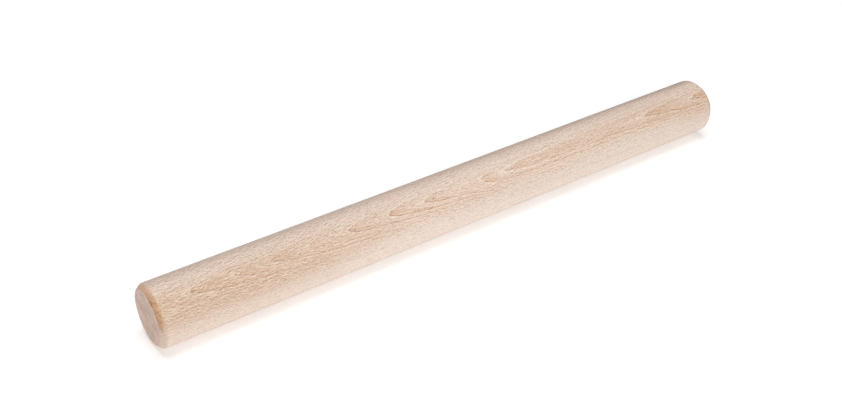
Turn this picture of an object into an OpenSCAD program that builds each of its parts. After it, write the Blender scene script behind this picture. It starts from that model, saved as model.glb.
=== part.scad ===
/* [Barrel] */
// Length of the pin from one end face to the other
pin_length = 500; // [300:5:700]
// Diameter of the straight barrel
barrel_d = 44.5; // [30:0.5:60]

/* [Ends] */
// Length along the axis of the bevel that is turned on each end
bevel_length = 3.6; // [2.4:0.1:8]
// Depth of that bevel, from the surface of the barrel in to the rim of the end face
bevel_depth = 2.8; // [2:0.1:6]
// Radius sanded on the shoulder, where the barrel meets the bevel
shoulder_r = 0.8; // [0.3:0.1:1.5]
// Radius sanded on the rim, where the bevel meets the end face
rim_r = 2; // [0.5:0.1:2]

/* [Hidden] */

beech_colour = [0.89, 0.79, 0.69];

// Sides drawn round the barrel, and steps drawn along each sanded corner
round_sides = 180;
corner_steps = 6;

end_x = pin_length / 2;
barrel_r = barrel_d / 2;
bevel_angle = atan2(bevel_depth, bevel_length);

// The section is drawn as [distance from the axis, distance from the middle of the pin]. These are
// the centres of the two sanded corners of one end, each as far in as its radius from both of the
// surfaces that it joins.
rim_centre = [
    barrel_r - bevel_depth - rim_r * tan((90 - bevel_angle) / 2),
    end_x - rim_r,
];
shoulder_centre = [
    barrel_r - shoulder_r,
    end_x - bevel_length - shoulder_r * tan(bevel_angle / 2),
];

function arc(centre, r, from, to) = [
    for (i = [0 : corner_steps])
        let (a = from + (to - from) * i / corner_steps)
        centre + r * [cos(a), sin(a)]
];

// One end of the section, from the axis out over the rim and the bevel to the barrel
end_outline = concat(
    [[0, end_x]],
    arc(rim_centre, rim_r, 90, bevel_angle),
    arc(shoulder_centre, shoulder_r, bevel_angle, 0)
);

function other_end(outline) = [
    for (i = [len(outline) - 1 : -1 : 0]) [outline[i][0], -outline[i][1]]
];

// The whole pin is one piece of beech, turned between centres and cut square at both ends. It lies
// along X, with the middle of its axis at the origin.
module rolling_pin() {
    color(beech_colour)
        rotate([0, 90, 0])
            rotate_extrude($fn = round_sides)
                polygon(concat(end_outline, other_end(end_outline)));
}

rolling_pin();
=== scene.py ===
import math
from itertools import accumulate
from types import SimpleNamespace

import bpy
from mathutils import Matrix, Vector, noise


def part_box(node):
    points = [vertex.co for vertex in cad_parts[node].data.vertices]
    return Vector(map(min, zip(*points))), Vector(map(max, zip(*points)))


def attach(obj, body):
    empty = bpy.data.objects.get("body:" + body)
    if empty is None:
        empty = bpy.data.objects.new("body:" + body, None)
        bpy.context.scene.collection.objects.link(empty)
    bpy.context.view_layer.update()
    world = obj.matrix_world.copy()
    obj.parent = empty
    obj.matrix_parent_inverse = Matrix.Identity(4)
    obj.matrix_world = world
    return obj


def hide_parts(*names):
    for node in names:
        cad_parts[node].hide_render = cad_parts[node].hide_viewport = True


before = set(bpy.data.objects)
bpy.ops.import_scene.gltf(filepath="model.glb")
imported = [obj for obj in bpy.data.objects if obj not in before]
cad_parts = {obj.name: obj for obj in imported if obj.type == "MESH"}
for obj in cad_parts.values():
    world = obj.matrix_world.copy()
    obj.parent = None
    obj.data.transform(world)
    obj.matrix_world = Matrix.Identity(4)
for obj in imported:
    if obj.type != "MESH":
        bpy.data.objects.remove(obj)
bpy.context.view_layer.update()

# Everything is in metres. The grain of the wood is worked out in millimetres.
MM = 0.001

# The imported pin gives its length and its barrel's radius
PIN_NODE = "rolling_pin"
low_corner, high_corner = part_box(PIN_NODE)
HALF_LENGTH = (high_corner.x - low_corner.x) / 2
BARREL_R = (high_corner.y - low_corner.y) / 2

# The turned ends, as in the construction
BEVEL_LENGTH = 3.6 * MM
BEVEL_DEPTH = 2.8 * MM
SHOULDER_R = 0.8 * MM
RIM_R = 2.0 * MM

# Where the bevels start along the pin, and the radius at which they meet the flat faces
SHOULDER_PLACE = HALF_LENGTH - BEVEL_LENGTH
FACE_R = BARREL_R - BEVEL_DEPTH

# Steps of the lathed mesh round the pin, along its barrel, and in each part of an end
ROUND_STEPS = 192
BARREL_STEPS = 200
FACE_STEPS = 10
CORNER_STEPS = 6
BEVEL_STEPS = 6

# Sanding by hand takes off up to this much, on the barrel and past its shoulders, in patches. The
# patches are this long, and so wide that the pin's radius is this many of them.
BARREL_WEAR = 0.05 * MM
END_WEAR = 0.25 * MM
WORN_PATCH = 25 * MM
PATCHES_IN_R = 1.5

# The map for pictures of the pin's surface, 1 wide and 1 high. It holds the barrel as a strip of this
# height, and above it the two ends as discs of this radius, with a thin margin, round these places.
MAP_STRIP = 0.80
MAP_DISC_R = 0.096
MAP_DISC_HEIGHT = 1 - MAP_DISC_R * 1.02
MAP_FAR_DISC = 0.25
MAP_NEAR_DISC = 0.75

# How the wood lies in the pin, in millimetres. Its rings run round a pith that is outside the pin, on
# the side RIDGE_ANGLE round from the top towards the camera. Along that ridge line the surface cuts
# through one ring after another, which gives the nested arches of flat-sawn wood.
RIDGE_ANGLE = math.radians(37.5)
PITH_DISTANCE = 90.0
RING_WIDTH = 1.25

# How strongly the rings waver, in rings, and how many millimetres the lines of the fine marks move out
# from the ridge from one ring to the next, which closes them into arches too
RING_WAVER = 0.3
LINE_STEP = 2.6

# Where each ring comes to the surface along the ridge: millimetres from the middle, ring number
RING_APEXES = [
    (-250, -0.8),
    (-227, 0.0),
    (-195, 1.0),
    (-166, 2.0),
    (-139, 3.0),
    (-108, 4.0),
    (-75, 5.0),
    (-43, 6.0),
    (-5, 7.0),
    (7, 8.0),
    (30, 9.0),
    (80, 9.5),
    (171, 10.0),
    (230, 11.0),
    (250, 11.5),
]

# How far the ridge line strays round the pin: millimetres from the middle, millimetres towards the floor
RIDGE_STRAYS = [
    (-250, 0.2),
    (-166, 0.2),
    (-108, 1.0),
    (-75, -0.6),
    (-43, -0.1),
    (-5, 0.9),
    (30, 0.6),
    (90, 0.0),
    (171, -2.0),
    (200, -1.8),
    (230, 1.2),
    (250, -0.8),
]

# What each ring shows, all from 0 to 1: how tan it starts, how far in the tan reaches, how dark its
# outer line is, and how pale its inner edge is
FIRST_RING = -2
RING_LOOKS = [
    (0.30, 0.60, 0.30, 0.20),
    (0.40, 0.60, 0.30, 0.30),
    (0.60, 0.95, 0.95, 0.20),
    (0.45, 0.50, 0.35, 0.25),
    (0.90, 0.45, 0.60, 0.30),
    (0.50, 0.40, 0.45, 0.30),
    (0.50, 0.65, 1.00, 0.60),
    (0.90, 0.50, 0.70, 0.25),
    (0.65, 0.45, 0.60, 0.40),
    (0.20, 0.40, 0.15, 0.70),
    (0.80, 0.70, 0.45, 0.70),
    (0.55, 0.95, 0.35, 0.60),
    (1.00, 0.50, 0.45, 0.60),
    (1.00, 0.90, 0.60, 0.50),
]

# Zones of the wood in millimetres. Each is the place where it starts to show, and the one where it
# shows in full. The first group is along the pin from its middle, towards its far end.
NEAR_HALF = (20, -20)
NEAR_END = (-20, -200)
FAR_END = (90, 220)
FEATHERED_RINGS = (60, 160)
# Along this zone the painted shade on the upper limb grows darker towards the far end
DARKER_LIMB_SHADE = (-150, 250)

# Zones straight across the pin from the ridge line, towards the floor. The arches reach this far to
# both sides of a middle of their own, and the foot of the flat-sawn wood spreads at the near end.
ARCHES_MIDDLE = 1.5
ARCHES = (11, 4.5)
UPPER_LIMBS = (-0.5, -4.5)
LOWER_LIMBS = (-3, 1)
FLAT_SAWN_TOP = (-13, 1)
FLAT_SAWN_FOOT = (18, 7)
FOOT_SPREAD = (6, 3)
BEVEL_UPPER_PART = (-2, -16)
BEVEL_LOWER_PART = (11, 17)

# Zones round the surface from the ridge line, towards the floor
STRAIGHT_GRAIN = (34, 44)
LOWER_SIDE = (12, 24)
UPPER_SIDE = (-20, -32)
ROSY_WOOD = (-5, -14)
# Painted shade: the upper limb, which turns away from the soft boxes, is darkened in the wood's colour
SHADED_UPPER_LIMB = (-14, -23)
BEFORE_BACK = (-46, -31)

# Zones of an end, past its shoulder along the pin
TURNED_WOOD = (-0.9, 0.8)
GOLDEN_SHOULDER = (-2.9, 0.1)

# Zones of an end, straight out from the edge of its flat face
BEVEL = (-0.74, 0.06)
RIM_LINE = (0.86, -0.14)
BURNISHED = (3.16, 0.76)
PINK_BORDER = (-2.44, -0.44)

# How deep the dark fine marks are cut
MARK_DEPTH = 0.004 * MM


def colour(red, green, blue):
    """A colour given as the 0 to 255 values of a picture."""
    levels = [value / 255 for value in (red, green, blue)]
    linear = [v / 12.92 if v <= 0.04045 else ((v + 0.055) / 1.055) ** 2.4 for v in levels]
    return (*linear, 1.0)


# The colours of the long grain, under full white light
SIDE_CREAM = colour(231, 216, 204)
RIDGE_CREAM = colour(223, 200, 182)
WARM = colour(198, 168, 143)
PINK = colour(226, 205, 196)
ROSE = colour(228, 196, 180)
STRAW = colour(219, 203, 180)
# Painted shade for the upper limb, mixed into the wood's colour
LIMB_SHADE = colour(184, 163, 151)
TAN = colour(201, 160, 128)
BROWN = colour(140, 100, 74)
PALE = colour(240, 224, 208)
GOLD = colour(224, 201, 164)

# The colours of the bevels and of the end grain
BURNISH = colour(174, 132, 103)
SCORCH = colour(112, 72, 46)
BEVEL_EDGE = colour(206, 172, 138)
BEVEL_TOP = colour(214, 182, 156)
BEVEL_LOWER = colour(171, 150, 134)
BEVEL_GREY = colour(154, 142, 124)
END_GRAIN = colour(200, 172, 159)
END_DARK = colour(160, 142, 125)
END_PINK = colour(224, 190, 181)

# The studio's surfaces
WHITE = (1, 1, 1, 1)
PALE_GREY = (0.9, 0.9, 0.9, 1)
BLACK = (0, 0, 0, 1)

# How brightly the white room and the floor glow, and how much light the two soft boxes give, in watts
ROOM_LIGHT = 0.08
FLOOR_GLOW = 0.26
FRONT_LIGHT = 76
TOP_LIGHT = 86

# Where the soft boxes hang, and how wide they are
FRONT_BOX = (-1.77, -2.53, 1.64)
TOP_BOX = (0.0, -0.06, 3.5)
BOX_WIDTH = 2.5

# How far the floor reaches, how high the wall round it is, and between which distances the floor's
# glow grows to full white
FLOOR_REACH = 12.0
WALL_HEIGHT = 20.0
WALL_STEPS = 48
GLOW_GROWS = (0.8, 2.5)

# The photograph's viewpoint: the way to the camera, its distance, its lens in millimetres, and how
# far the middle of the pin lies to the right of the middle of its view and above it
CAMERA_AZIMUTH = math.radians(-35.59)
CAMERA_ELEVATION = math.radians(32.62)
CAMERA_DISTANCE = 0.80747
CAMERA_LENS = 46.31
PIN_RIGHT = 0.03022
PIN_UP = 0.00517


class Number:
    """A number that a material works out at each point. It can be used in formulas."""

    def __init__(self, graph, socket):
        self.graph = graph
        self.socket = socket

    def apply(self, operation, *others):
        return self.graph.math(operation, self, *others)

    def __add__(self, other):
        return self.apply("ADD", other)

    def __sub__(self, other):
        return self.apply("SUBTRACT", other)

    def __mul__(self, other):
        return self.apply("MULTIPLY", other)

    def __truediv__(self, other):
        return self.apply("DIVIDE", other)

    def __pow__(self, other):
        return self.apply("POWER", other)

    def __radd__(self, other):
        return self.graph.math("ADD", other, self)

    def __rsub__(self, other):
        return self.graph.math("SUBTRACT", other, self)

    def __rmul__(self, other):
        return self.graph.math("MULTIPLY", other, self)

    def __neg__(self):
        return self.apply("MULTIPLY", -1)

    def __abs__(self):
        return self.apply("ABSOLUTE")

    def floor(self):
        return self.apply("FLOOR")

    def root(self):
        return self.apply("SQRT")

    def fraction(self):
        return self.apply("FRACT")


class Graph:
    """The nodes of one material, with short names for those used here."""

    def __init__(self, name):
        self.material = bpy.data.materials.new(name)
        self.material.use_nodes = True
        self.tree = self.material.node_tree
        self.shader = self.tree.nodes["Principled BSDF"]

    def feed(self, socket, value):
        if isinstance(value, Number):
            value = value.socket
        if isinstance(value, bpy.types.NodeSocket):
            self.tree.links.new(value, socket)
        else:
            socket.default_value = value

    def shade(self, inputs):
        """Feeds inputs of the shader, given by their names."""
        for name, value in inputs.items():
            self.feed(self.shader.inputs[name], value)

    def node(self, kind, inputs, **settings):
        made = self.tree.nodes.new("ShaderNode" + kind)
        for key, value in settings.items():
            setattr(made, key, value)
        for key, value in inputs.items():
            self.feed(made.inputs[key], value)
        return made

    def object_place(self):
        return self.node("TexCoord", {}).outputs["Object"]

    def math(self, operation, *values):
        made = self.node("Math", dict(enumerate(values)), operation=operation)
        return Number(self, made.outputs[0])

    def in_cells(self, at, sizes, start):
        """A place counted in cells from start. Each of up to three sizes is along one way of the wood."""
        counts = [getattr(at, way) / size for way, size in sizes.items()] + [0] * (3 - len(sizes))
        x, y, z = (count + shift if shift else count for count, shift in zip(counts, start))
        return self.node("CombineXYZ", {0: x, 1: y, 2: z}).outputs[0]

    def noise(self, at, detail=2.0, roughness=0.5, start=(0, 0, 0), **sizes):
        """Noise round 0, mostly within 0.25 of it, in cells of these sizes in millimetres."""
        place = self.in_cells(at, sizes, start)
        inputs = {"Vector": place, "Scale": 1.0, "Detail": detail, "Roughness": roughness}
        return Number(self, self.node("TexNoise", inputs).outputs["Fac"]) - 0.5

    def spacing(self, at, randomness, **sizes):
        """Distance, in cells of these sizes, to the nearest of points that lie about one to a cell."""
        place = self.in_cells(at, sizes, (0, 0, 0))
        inputs = {"Vector": place, "Scale": 1.0, "Randomness": randomness}
        return Number(self, self.node("TexVoronoi", inputs).outputs["Distance"])

    def waves(self, at, start=(0, 0, 0), **sizes):
        """Short runs of waves round 0. A wave is as long as the first size, and a run as the others."""
        place = self.in_cells(at, sizes, start)
        inputs = {"Vector": place, "Scale": 1.0, "Frequency": 1.0, 5: (1, 0, 0)}
        return Number(self, self.node("TexGabor", inputs, gabor_type="3D").outputs["Value"]) - 0.5

    def chance(self, number):
        """A number from 0 to 1 that is random but always the same for the same input."""
        made = self.node("TexWhiteNoise", {"W": number}, noise_dimensions="1D")
        return Number(self, made.outputs["Value"])

    def rise(self, value, start, end, kind="SMOOTHSTEP"):
        """0 at start and before it, 1 at end and past it, and a step between. Start may be above end."""
        inputs = {"Value": value, "From Min": start, "From Max": end}
        made = self.node("MapRange", inputs, interpolation_type=kind)
        return Number(self, made.outputs["Result"])

    def curve(self, value, points):
        """A smooth curve through points, pairs of input and result."""
        (x0, y0), (x1, y1) = points[0], points[-1]
        low, high = min(y for x, y in points), max(y for x, y in points)
        made = self.node("FloatCurve", {"Value": (value - x0) / (x1 - x0)})
        line = made.mapping.curves[0]
        places = [((x - x0) / (x1 - x0), (y - low) / (high - low)) for x, y in points]
        line.points[0].location, line.points[1].location = places[0], places[-1]
        for place in places[1:-1]:
            line.points.new(*place)
        made.mapping.update()
        return Number(self, made.outputs[0]) * (high - low) + low

    def looked_up(self, number, first, rows):
        """The four values of the row for a whole number, where the first row is for first."""
        made = self.node("ValToRGB", {"Fac": (number - first + 0.5) / len(rows)})
        ramp = made.color_ramp
        ramp.interpolation = "CONSTANT"
        ramp.elements.remove(ramp.elements[1])
        ramp.elements[0].position = 0
        ramp.elements[0].color = rows[0]
        for i, row in enumerate(rows[1:], 1):
            ramp.elements.new(i / len(rows)).color = row
        parts = self.node("SeparateColor", {0: made.outputs["Color"]})
        return [Number(self, s) for s in (*parts.outputs, made.outputs["Alpha"])]

    def mix(self, share, first, second):
        """A colour that goes from first to second as share goes from 0 to 1."""
        made = self.tree.nodes.new("ShaderNodeMix")
        made.data_type = "RGBA"
        self.feed(made.inputs["Factor"], share)
        for socket, value in (("A", first), ("B", second)):
            place = [s for s in made.inputs if s.name == socket and s.type == "RGBA"][0]
            self.feed(place, value)
        return [s for s in made.outputs if s.type == "RGBA"][0]

    def layered(self, ground, *layers):
        """A colour under layers, the lowest first. Each layer is how far it covers, and its colour."""
        for share, tint in layers:
            ground = self.mix(share, ground, tint)
        return ground

    def bump(self, height):
        """The normal of a surface with this height over the modelled one, in metres."""
        return self.node("Bump", {"Height": height, "Distance": 1.0, "Strength": 1.0}).outputs["Normal"]


def tree_places(g):
    """Where each point of the pin lies in the tree and on the pin, in millimetres."""
    split = g.node("SeparateXYZ", {0: g.object_place()})
    x, y, z = (Number(g, split.outputs[i]) / MM for i in range(3))
    sin_a, cos_a = math.sin(RIDGE_ANGLE), math.cos(RIDGE_ANGLE)
    towards_pith = z * cos_a - y * sin_a
    across = -(y * cos_a) - z * sin_a - g.curve(x, RIDGE_STRAYS)
    pith_distance = ((PITH_DISTANCE - towards_pith) ** 2 + across * across).root()
    depth = pith_distance - (PITH_DISTANCE - BARREL_R / MM)
    at = SimpleNamespace(x=x, across=across, depth=depth)

    # The rings, which waver in long waves and have feathered edges
    waver = g.noise(at, x=18, across=5, depth=5)
    feather = g.noise(at, x=8, across=0.7, depth=0.7, detail=1)
    apex_ring = g.curve(x, RING_APEXES) + waver * RING_WAVER
    ring = apex_ring - depth / RING_WIDTH
    at.ring = ring + feather * (0.07 + abs(across) * 0.02 + g.rise(x, *FEATHERED_RINGS) * 0.3)
    at.inward = ring * RING_WIDTH

    # Round the surface, across the lines of the fine marks, and across the rays of the end grain
    at.arc = across.apply("ARCTAN2", towards_pith) * (BARREL_R / MM)
    at.line = abs(at.arc) - apex_ring * LINE_STEP
    at.fan = across / pith_distance * PITH_DISTANCE

    at.past_shoulder = abs(x) - SHOULDER_PLACE / MM
    at.past_rim = (y * y + z * z).root() - FACE_R / MM
    return at


def wood_zones(g, at):
    """How far each point belongs to the zones of the long grain, from 0 to 1, and its patches."""
    near_end = g.rise(at.x, *NEAR_END)
    foot = [place + near_end * spread for place, spread in zip(FLAT_SAWN_FOOT, FOOT_SPREAD)]
    before_back = g.rise(at.arc, *BEFORE_BACK)
    return SimpleNamespace(
        near_end=near_end,
        far_end=g.rise(at.x, *FAR_END),
        flat_sawn=g.rise(at.across, *FLAT_SAWN_TOP) * g.rise(at.across, *foot),
        rosy=g.rise(at.arc, *ROSY_WOOD) * before_back,
        # Painted shade on the upper limb, which stops before the back
        upper_limb_shade=g.rise(at.arc, *SHADED_UPPER_LIMB) * before_back,
        sides=g.rise(at.arc, *LOWER_SIDE) + g.rise(at.arc, *UPPER_SIDE),
        patches=g.noise(at, x=28, across=7, inward=7, detail=4, roughness=0.6),
    )


def ring_marks(g, at):
    """The tan fill, dark outer line and pale inner edge of the growth rings, and their late wood."""
    year = at.ring.floor()
    share = at.ring.fraction()
    tan, reach, line, pale = g.looked_up(year, FIRST_RING, RING_LOOKS)

    # The first row is for all earlier rings too, and each of these is strong or weak by chance
    luck = 0.4 + 0.6 * g.chance(year)
    in_table = g.rise(year, FIRST_RING, FIRST_RING + 1)
    strength = in_table + (1 - in_table) * luck

    # The arches show in full, the straight rings next to them faintly, and those further round more
    arches = g.rise(abs(at.across - ARCHES_MIDDLE), *ARCHES)
    shown = 0.25 + 0.75 * arches + 0.4 * (1 - arches) * g.rise(abs(at.arc), *STRAIGHT_GRAIN)

    # On its upper limb an arch has less tan and a weaker line
    upper_limb = g.rise(at.across, *UPPER_LIMBS) * (0.5 + 0.3 * g.rise(at.x, *NEAR_HALF))
    line_strength = 0.55 + 0.45 * g.rise(at.across, *LOWER_LIMBS)
    line_width = 0.07 + abs(at.across) * 0.02
    streaks = g.noise(at, x=12, arc=0.8, inward=3, detail=1)
    fill = g.rise(share / reach, 1.0, 0.2, "LINEAR") * g.rise(streaks, -0.25, 0.15)
    return SimpleNamespace(
        tan=tan * fill * strength * shown * (1 - upper_limb),
        line=line * g.rise(share, line_width, 0.0) * shown * line_strength * strength,
        pale=pale * g.rise(share, 0.76, 0.94) * strength,
        late=g.rise(share, 0.45, 0.0) * (0.3 + 0.7 * luck),
    )


def fine_marks(g, at, zones):
    """The small marks of beech, round 0 and dark above it, and how far they cover the wood."""
    # Strokes and flecks follow the arches. On the sides they are longer, thinner and straighter.
    strokes = g.waves(at, line=2.1, x=3.8, across=8) * (1 - zones.sides)
    long_strokes = g.waves(at, line=1.5, x=12, across=8, start=(80, 0, 0)) * zones.sides
    flecks = g.waves(at, line=1.9, x=1.6, across=5, start=(40, 0, 0)) * (1 - zones.sides * 0.7)

    # Rays are dark spots with paler wood between them, and fibres and dashes thin threads of grain
    spacing = g.spacing(at, 0.9, inward=9, across=1.0, x=4)
    rays = g.rise(spacing, 0.36, 0.12) - g.rise(spacing, 0.40, 0.7) * 0.5
    fibres = g.noise(at, inward=0.3, across=0.3, x=6, detail=1)
    dashes = g.noise(at, inward=0.2, across=0.2, x=1.8, start=(0, 0, 30), detail=1)

    busy = (0.62 + 0.1 * zones.flat_sawn + 0.5 * zones.rosy) * (0.85 + 0.2 * zones.near_end)
    strokes = strokes + long_strokes * 1.6
    marks = (strokes * 2.1 + flecks * 2.6 + rays * 0.15 + fibres * 0.8) * busy
    return SimpleNamespace(
        marks=marks,
        dark=g.rise(dashes + marks * 0.2, 0.06, 0.14) * (0.6 - 0.15 * zones.sides),
        pale=g.rise(marks, 0, -1, "LINEAR") * 0.6,
    )


def long_grain(g, at, zones, rings, fine):
    """The colour of the barrel: tanner where flat-sawn, and rosy and then painted shade on its upper
    side.
    """
    blush = g.noise(at, x=9, arc=3.5, across=20, detail=1)
    blush_share = 0.6 + zones.rosy * 0.3
    ends_share = zones.near_end * 0.7 + zones.far_end * 0.4
    return g.layered(
        g.mix(zones.flat_sawn, SIDE_CREAM, RIDGE_CREAM),
        ((zones.flat_sawn * 0.85 + 0.15) * ends_share, WARM),
        (g.rise(zones.patches, 0, 0.25) * (0.1 + 0.25 * zones.flat_sawn), WARM),
        (g.rise(zones.patches, 0, -0.25) * 0.4, PINK),
        (g.rise(blush, 0.02, 0.28) * blush_share, ROSE),
        (g.rise(blush, -0.02, -0.28) * blush_share, STRAW),
        (zones.rosy * 0.3, ROSE),
        # Painted shade on the upper limb, darker towards the far end
        (zones.upper_limb_shade * (0.2 + 0.5 * g.rise(at.x, *DARKER_LIMB_SHADE)), LIMB_SHADE),
        (rings.tan * 0.9, TAN),
        (rings.pale * 0.7, PALE),
        (rings.line * 0.6, BROWN),
        (fine.dark, BROWN),
        (fine.pale, PALE),
    )


def end_zones(g, at, zones):
    """How far each point belongs to the parts of an end, from 0 to 1, with their mottles and specks."""
    mottles = g.noise(at, x=1.4, arc=1.6, detail=3, roughness=0.6)
    grit = g.noise(at, x=1.8, arc=1.8, start=(0, 0, 5), detail=1)
    fine_grit = g.noise(at, x=0.6, arc=0.6, start=(0, 0, 9), detail=1)
    upper = g.rise(at.across, *BEVEL_UPPER_PART)
    lower = g.rise(at.across + mottles * 9, *BEVEL_LOWER_PART)
    past_shoulder = at.past_shoulder + mottles * 4
    past_rim = at.past_rim + zones.patches * 1.5 + mottles * 1.5
    turned = g.rise(past_shoulder, *TURNED_WOOD)
    on_bevel = g.rise(past_rim, *BEVEL)
    return SimpleNamespace(
        mottles=mottles,
        specks=g.rise(grit + fine_grit, 0.1, 0.2),
        upper=upper,
        lower=lower,
        golden=g.rise(past_shoulder, *GOLDEN_SHOULDER) * (1 - upper) * (1 - lower),
        rim_line=g.rise(past_rim, *RIM_LINE),
        bevel=turned * on_bevel,
        face=turned * (1 - on_bevel),
    )


def bevel_wood(g, at, end):
    """The colour of a bevel: burnished and scorched by the turning tool, less so on top and below."""
    burnished = g.rise(at.past_rim - end.mottles * 5, *BURNISHED)
    return g.layered(
        g.mix(0.15 + burnished * 0.85, BEVEL_EDGE, BURNISH),
        (end.rim_line * 0.25, SCORCH),
        (g.rise(end.mottles, 0, 0.15) * 0.55, BEVEL_EDGE),
        (g.rise(end.mottles, 0, -0.15) * 0.1, SCORCH),
        (end.specks * (1 - end.upper) * 0.8, SCORCH),
        (end.upper * 0.5, BEVEL_TOP),
        (end.lower, BEVEL_LOWER),
        (end.lower * g.rise(end.mottles, 0, 0.1) * 0.5, ROSE),
        (end.lower * g.rise(end.mottles, 0, -0.1) * 0.6, BEVEL_GREY),
    )


def end_grain(g, at, rings):
    """The colour of a flat face: rays that fan out from the pith, clouds, pores and late wood."""
    rays = g.waves(at, fan=2.8, inward=12, x=40) * 0.6 + g.waves(at, fan=1.3, inward=8, x=40) * 1.2
    clouds = g.noise(at, fan=11, inward=11, x=40, detail=1)
    pores = g.noise(at, fan=0.6, inward=1.5, x=40)
    return g.layered(
        END_GRAIN,
        (g.rise(rays, 0, 0.3) * 0.75, END_DARK),
        (g.rise(rays, 0, -0.3) * 0.75, END_PINK),
        (g.rise(clouds, 0, 0.25) * 0.7, END_PINK),
        (g.rise(clouds, 0, -0.25) * 0.5, END_DARK),
        (g.rise(pores, 0, 0.2) * 0.3, END_DARK),
        (g.rise(pores, 0, -0.2) * 0.3, END_PINK),
        (g.rise(at.past_rim, *PINK_BORDER) * 0.35, END_PINK),
        (rings.late * 0.25, END_DARK),
    )


def beech():
    """Steamed beech, worked out through the solid so that the grain meets at every edge."""
    g = Graph("beech")
    at = tree_places(g)
    zones = wood_zones(g, at)
    rings = ring_marks(g, at)
    fine = fine_marks(g, at, zones)
    end = end_zones(g, at, zones)
    wood = g.layered(
        long_grain(g, at, zones, rings, fine),
        (end.golden * g.rise(end.mottles, -0.05, 0.15) * 0.75, GOLD),
        (end.golden * end.specks * 0.5, BURNISH),
        (end.face * 0.95, end_grain(g, at, rings)),
        (end.bevel * (0.9 - end.lower * 0.3), bevel_wood(g, at, end)),
    )
    g.shade({
        "Base Color": wood,
        "Specular IOR Level": 0.25,
        "Roughness": 0.6 - end.bevel * 0.15 + fine.marks * 0.05,
        "Normal": g.bump(fine.marks * -MARK_DEPTH),
    })
    return g.material


def smooth_object(name, vertices, faces):
    """A smooth-shaded object made of these vertices and faces."""
    mesh = bpy.data.meshes.new(name)
    mesh.from_pydata(vertices, [], faces)
    mesh.update()
    mesh.shade_smooth()
    made = bpy.data.objects.new(name, mesh)
    bpy.context.scene.collection.objects.link(made)
    return made


def arc(centre, radius, start, end):
    """Points round an arc of the section, from one angle to another."""
    turns = [start + (end - start) * i / CORNER_STEPS for i in range(CORNER_STEPS + 1)]
    return [(centre[0] + radius * math.cos(a), centre[1] + radius * math.sin(a)) for a in turns]


def end_profile():
    """One end of the pin's section, from near its axis out to the barrel, as (radius, place along)."""
    angle = math.atan2(BEVEL_DEPTH, BEVEL_LENGTH)
    rim_centre = (FACE_R - RIM_R * math.tan((math.pi / 2 - angle) / 2), HALF_LENGTH - RIM_R)
    shoulder_centre = (BARREL_R - SHOULDER_R, SHOULDER_PLACE - SHOULDER_R * math.tan(angle / 2))
    rim = arc(rim_centre, RIM_R, math.pi / 2, angle)
    shoulder = arc(shoulder_centre, SHOULDER_R, angle, 0)
    face = [(rim[0][0] * i / FACE_STEPS, HALF_LENGTH) for i in range(1, FACE_STEPS)]
    bevel = [
        tuple(a + (b - a) * i / BEVEL_STEPS for a, b in zip(rim[-1], shoulder[0]))
        for i in range(1, BEVEL_STEPS)
    ]
    return face + rim + bevel + shoulder


def pin_outline():
    """The pin's section, from its axis at the far face to its axis at the near face, in the same form."""
    end = end_profile()
    reach = end[-1][1]
    barrel = [(BARREL_R, reach - 2 * reach * i / BARREL_STEPS) for i in range(1, BARREL_STEPS)]
    near_end = [(radius, -along) for radius, along in reversed(end)]
    return [(0.0, HALF_LENGTH)] + end + barrel + near_end + [(0.0, -HALF_LENGTH)]


def turn(step):
    """The angle of a step round the pin, from the top. The steps start at the bottom."""
    return math.pi + 2 * math.pi * step / ROUND_STEPS


def sanded(radius, along, angle):
    """A radius after sanding by hand, which takes off more in some places, most past the shoulders."""
    place = Vector((along / WORN_PATCH, PATCHES_IN_R * math.cos(angle), PATCHES_IN_R * math.sin(angle)))
    past_shoulder = (abs(along) - SHOULDER_PLACE) / BEVEL_LENGTH + 0.5
    wear = BARREL_WEAR + (END_WEAR - BARREL_WEAR) * min(max(past_shoulder, 0.0), 1.0)
    return radius - wear * (0.5 + 0.5 * noise.noise(place)) * radius / BARREL_R


def pin_vertices(outline):
    """The middle of the far face, a ring of points for each row of the outline, and the near middle."""
    rings = []
    for radius, along in outline[1:-1]:
        for step in range(ROUND_STEPS):
            r = sanded(radius, along, turn(step))
            rings.append((along, -r * math.sin(turn(step)), r * math.cos(turn(step))))
    return [(HALF_LENGTH, 0.0, 0.0)] + rings + [(-HALF_LENGTH, 0.0, 0.0)]


def pin_faces(last_row):
    """The faces, with their corners as (row, step). Those round the two middles are triangles."""
    for row in range(last_row):
        for step in range(ROUND_STEPS):
            corners = [(row, step), (row, step + 1), (row + 1, step + 1), (row + 1, step)]
            if row == 0:
                del corners[1]
            if row == last_row - 1:
                del corners[2]
            yield corners


def pin_map(outline, faces):
    """The place of each corner of each face on the map for pictures of the surface."""
    travel = list(accumulate(map(math.dist, outline, outline[1:]), initial=0.0))
    last_row = len(outline) - 1
    end_rows = len(end_profile())
    end_travel = travel[end_rows]

    def on_strip(row, step):
        return (travel[row] - end_travel) / (travel[-1] - 2 * end_travel), MAP_STRIP * step / ROUND_STEPS

    def on_disc(row, step, middle):
        r = min(travel[row], travel[-1] - travel[row]) / end_travel * MAP_DISC_R
        return middle + r * math.cos(turn(step)), MAP_DISC_HEIGHT + r * math.sin(turn(step))

    places = []
    for corners in faces:
        row = corners[0][0]
        for corner in corners:
            if row < end_rows:
                places += on_disc(*corner, MAP_FAR_DISC)
            elif row >= last_row - end_rows:
                places += on_disc(*corner, MAP_NEAR_DISC)
            else:
                places += on_strip(*corner)
    return places


def pin_mesh():
    """The whole pin as one closed lathed surface, with its map for pictures of its surface."""
    outline = pin_outline()
    vertices = pin_vertices(outline)
    faces = list(pin_faces(len(outline) - 1))

    def vertex(row, step):
        return min(1 + (row - 1) * ROUND_STEPS + step % ROUND_STEPS, len(vertices) - 1) if row else 0

    made = smooth_object("turned_pin", vertices, [[vertex(*corner) for corner in face] for face in faces])
    made.data.uv_layers.new(name="OFBake").data.foreach_set("uv", pin_map(outline, faces))
    return made


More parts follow.
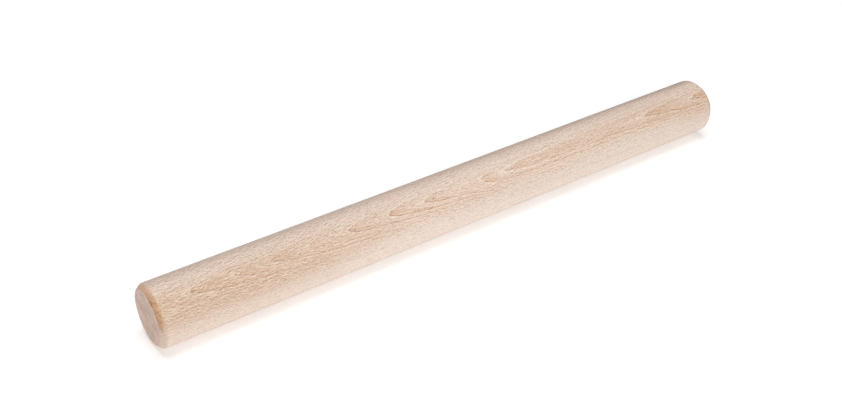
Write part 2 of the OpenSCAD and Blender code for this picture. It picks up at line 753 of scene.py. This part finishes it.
def add_camera():
    """A camera at the photograph's viewpoint."""
    right = Vector((math.cos(CAMERA_AZIMUTH), math.sin(CAMERA_AZIMUTH), 0))
    back = Vector((
        math.sin(CAMERA_AZIMUTH) * math.cos(CAMERA_ELEVATION),
        -math.cos(CAMERA_AZIMUTH) * math.cos(CAMERA_ELEVATION),
        math.sin(CAMERA_ELEVATION),
    ))
    up = back.cross(right)
    place = back * CAMERA_DISTANCE - right * PIN_RIGHT - up * PIN_UP
    camera = bpy.data.objects.new("camera", bpy.data.cameras.new("camera"))
    camera.data.lens = CAMERA_LENS
    camera.matrix_world = Matrix.Translation(place) @ Matrix((right, up, back)).transposed().to_4x4()
    bpy.context.scene.collection.objects.link(camera)
    bpy.context.scene.camera = camera


def add_floor():
    """A plain pale floor under the pin. It glows, most far away, where the soft boxes don't reach."""
    ways = [(-1, -1), (1, -1), (1, 1), (-1, 1)]
    corners = [(x * FLOOR_REACH, y * FLOOR_REACH, -BARREL_R) for x, y in ways]
    floor = smooth_object("floor", corners, [(0, 1, 2, 3)])
    g = Graph("pale_floor")
    length = g.node("VectorMath", {0: g.object_place()}, operation="LENGTH")
    far = g.rise(Number(g, length.outputs["Value"]), *GLOW_GROWS)
    g.shade({
        "Base Color": PALE_GREY,
        "Roughness": 0.9,
        "Specular IOR Level": 0.1,
        "Emission Color": WHITE,
        "Emission Strength": FLOOR_GLOW + (1 - FLOOR_GLOW) * far,
    })
    floor.data.materials.append(g.material)


def add_backdrop():
    """A white wall round the edge of the floor. Only the camera sees it, so it lights nothing."""
    turns = [2 * math.pi * i / WALL_STEPS for i in range(WALL_STEPS)]
    feet = [(FLOOR_REACH * math.cos(a), FLOOR_REACH * math.sin(a), -BARREL_R) for a in turns]
    tops = [(x, y, WALL_HEIGHT) for x, y, z in feet]
    following = [(i, (i + 1) % WALL_STEPS) for i in range(WALL_STEPS)]
    panels = [(i, j, WALL_STEPS + j, WALL_STEPS + i) for i, j in following]
    wall = smooth_object("backdrop", feet + tops, panels)
    for rays in ("diffuse", "glossy", "transmission", "volume_scatter", "shadow"):
        setattr(wall, "visible_" + rays, False)
    g = Graph("white_wall")
    g.shade({
        "Base Color": BLACK,
        "Specular IOR Level": 0,
        "Emission Color": WHITE,
        "Emission Strength": 1,
    })
    wall.data.materials.append(g.material)


def soft_box(name, place, power):
    """A square light that points at the pin."""
    light = bpy.data.objects.new(name, bpy.data.lights.new(name, "AREA"))
    light.data.shape = "SQUARE"
    light.data.size = BOX_WIDTH
    light.data.energy = power
    light.location = place
    light.rotation_mode = "QUATERNION"
    light.rotation_quaternion = (-Vector(place)).to_track_quat("-Z", "Y")
    bpy.context.scene.collection.objects.link(light)


def add_lights():
    """A dim white room with two large soft boxes."""
    world = bpy.data.worlds.new("studio")
    world.use_nodes = True
    background = world.node_tree.nodes["Background"]
    background.inputs["Color"].default_value = WHITE
    background.inputs["Strength"].default_value = ROOM_LIGHT
    bpy.context.scene.world = world
    soft_box("front_box", FRONT_BOX, FRONT_LIGHT)
    soft_box("top_box", TOP_BOX, TOP_LIGHT)


pin = pin_mesh()
pin.data.materials.append(beech())
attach(pin, "root")
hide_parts(PIN_NODE)

add_floor()
add_backdrop()
add_camera()
add_lights()
bpy.context.scene.view_settings.view_transform = "Standard"
